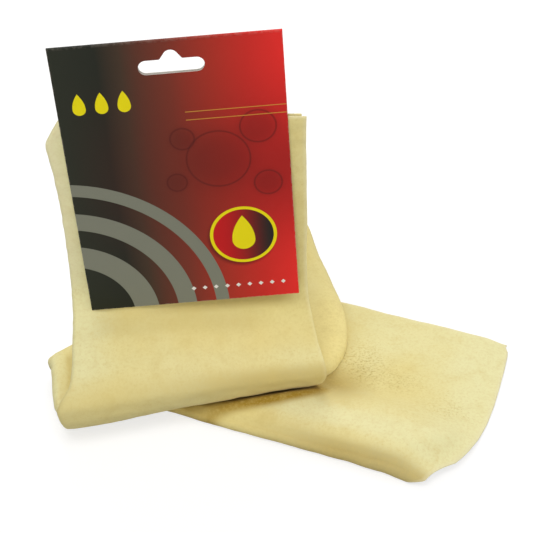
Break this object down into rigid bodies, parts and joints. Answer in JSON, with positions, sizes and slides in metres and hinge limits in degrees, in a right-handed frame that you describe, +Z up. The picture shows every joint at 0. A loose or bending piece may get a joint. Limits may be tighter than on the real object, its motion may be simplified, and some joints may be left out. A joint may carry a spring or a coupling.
{
  "type": "chamois leather",
  "caption": "Folded chamois leather hide stapled inside a fold-over header card with a peg slot; the hide rolls at the foot and its tail lies flat.",
  "frame": {"origin": "on the floor, under the middle of the whole object's box", "axes": "+Z up, -Y the way the card's printed face looks, +X to the right as seen from that side"},
  "size_m": [0.266, 0.2206, 0.2188],
  "materials": {
    "hide": "soft napped suede, oil tanned, undyed",
    "card_back": "plain uncoated board",
    "card_front": "printed and varnished board",
    "staple_wire": "bright galvanised wire"
  },
  "bodies": {
    "leather": {"chamois_leather": "hide", "card_back_leaf": "card_back", "staple_left": "staple_wire", "staple_right": "staple_wire"},
    "front_leaf": {"card_front_leaf": "card_front"}
  },
  "joints": [
    {"name": "front_leaf_lift", "type": "hinge", "parent": "leather", "child": "front_leaf", "pos_m": [-0.05676, -0.01935, 0.21456], "axis": [-0.998, 0, -0.0628], "range_deg": [0, 120]}
  ]
}
